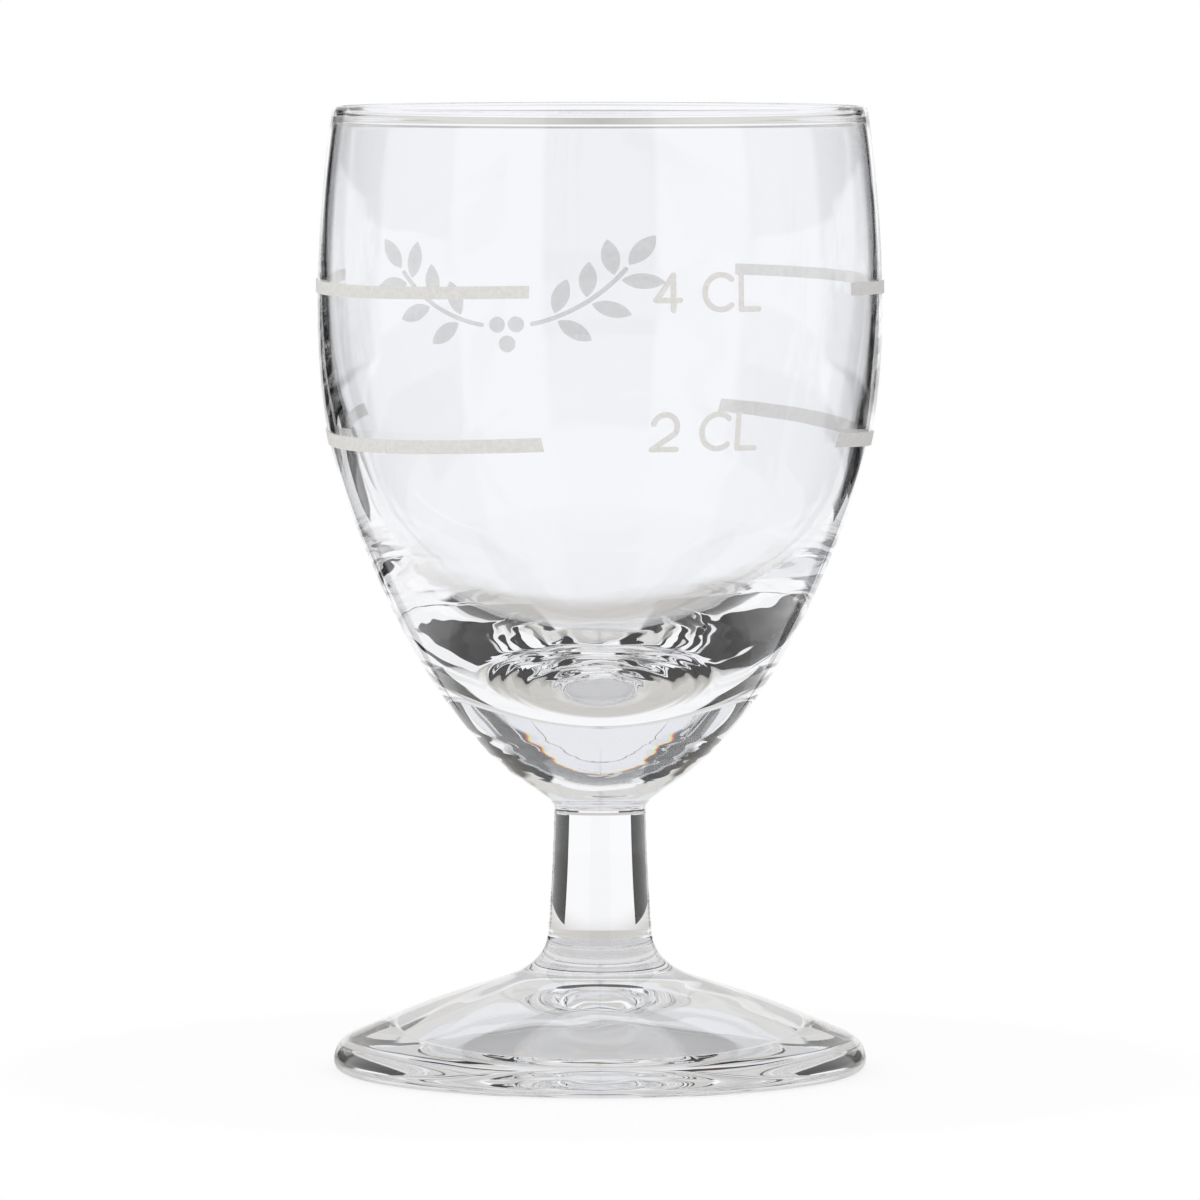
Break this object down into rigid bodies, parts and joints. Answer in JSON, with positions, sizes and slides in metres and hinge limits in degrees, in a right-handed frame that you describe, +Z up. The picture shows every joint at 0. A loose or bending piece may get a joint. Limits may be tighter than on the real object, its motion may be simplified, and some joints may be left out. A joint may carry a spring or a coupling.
{
  "type": "cordial glass",
  "caption": "Small stemmed cordial glass with an egg-shaped bowl, short solid stem, trumpet foot and printed enamel fill lines.",
  "frame": {"origin": "centre of the foot on the surface the glass stands on", "axes": "+Z up along the glass's axis, -Y the side with the capacity marks"},
  "size_m": [0.0476, 0.0475, 0.081],
  "materials": {
    "glass": "clear, fire-polished",
    "enamel": "fired screen print, satin warm grey"
  },
  "bodies": {
    "root": {"bowl": "glass", "stem": "glass", "foot": "glass", "fill_line_4cl_left": "enamel", "fill_line_4cl_right": "enamel", "fill_line_2cl_left": "enamel", "fill_line_2cl_right": "enamel", "capacity_mark_4cl": "enamel", "capacity_mark_2cl": "enamel", "back_sprig": "enamel"}
  },
  "joints": []
}
